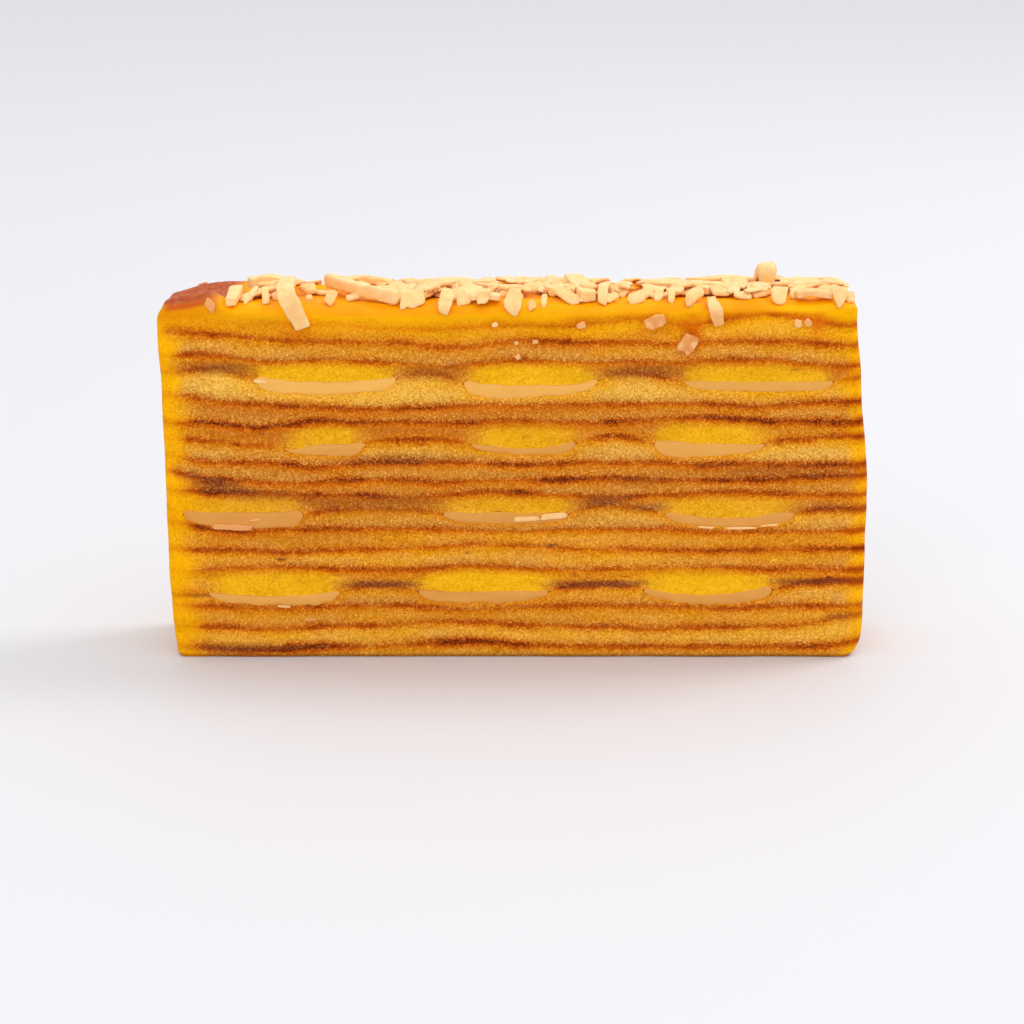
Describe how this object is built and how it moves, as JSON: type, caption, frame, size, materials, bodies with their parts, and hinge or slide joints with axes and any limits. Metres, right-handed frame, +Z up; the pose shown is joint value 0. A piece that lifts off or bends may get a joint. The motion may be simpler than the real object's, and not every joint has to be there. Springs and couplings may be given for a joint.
{
  "type": "layered butter cake slice",
  "caption": "Upright slice of thin-layered butter cake with browned lines between the layers, baked-in cheese strips and grated cheese on its glazed top.",
  "frame": {"origin": "under the middle of the slice's box, on the surface that it stands on", "axes": "+X along the slice from its left end to its right end, +Y from the front cut face to the back one, +Z up through the layers"},
  "size_m": [0.0986, 0.0178, 0.0536],
  "materials": {
    "sponge": "fine moist golden crumb with dark brown baked lines, bright yellow at the pan sides",
    "browned_top": "buttered deep orange-yellow top with a purple-brown crust at the left end, glossy",
    "baked_cheese": "smooth beige-tan melted cheese",
    "grated_cheese": "pale cream waxy shreds, slightly see-through"
  },
  "bodies": {
    "root": {"layer_01": "sponge", "layer_02": "sponge", "layer_03": "sponge", "layer_04": "sponge", "layer_05": "sponge", "layer_06": "sponge", "layer_07": "sponge", "layer_08": "sponge", "layer_09": "sponge", "layer_10": "sponge", "layer_11": "sponge", "layer_12": "sponge", "layer_13": "sponge", "layer_14": "sponge", "layer_15": "sponge", "layer_16": "sponge", "layer_17": "sponge", "layer_18": "sponge", "layer_19_top": "browned_top", "shred_bent_rod": "grated_cheese", "shred_broad_flake": "grated_cheese", "shred_drip_chunk": "grated_cheese", "shred_drip_crumb": "grated_cheese", "shred_folded": "grated_cheese", "shred_hanging_bar": "grated_cheese", "shred_hanging_chip": "grated_cheese", "shred_left_heap": "grated_cheese", "shred_left_stub": "grated_cheese", "shred_long_curl": "grated_cheese", "shred_middle_bar": "grated_cheese", "shred_middle_chip": "grated_cheese", "shred_rear_bar": "grated_cheese", "shred_rear_sliver": "grated_cheese", "shred_right_bar": "grated_cheese", "shred_right_chunk": "grated_cheese", "shred_right_front": "grated_cheese", "shred_thin_rear": "grated_cheese", "strip_row_1_left": "baked_cheese", "strip_row_1_middle": "baked_cheese", "strip_row_1_right": "baked_cheese", "strip_row_2_left": "baked_cheese", "strip_row_2_middle": "baked_cheese", "strip_row_2_right": "baked_cheese", "strip_row_3_left": "baked_cheese", "strip_row_3_middle": "baked_cheese", "strip_row_3_right": "baked_cheese", "strip_row_4_left": "baked_cheese", "strip_row_4_middle": "baked_cheese", "strip_row_4_right": "baked_cheese"}
  },
  "joints": []
}
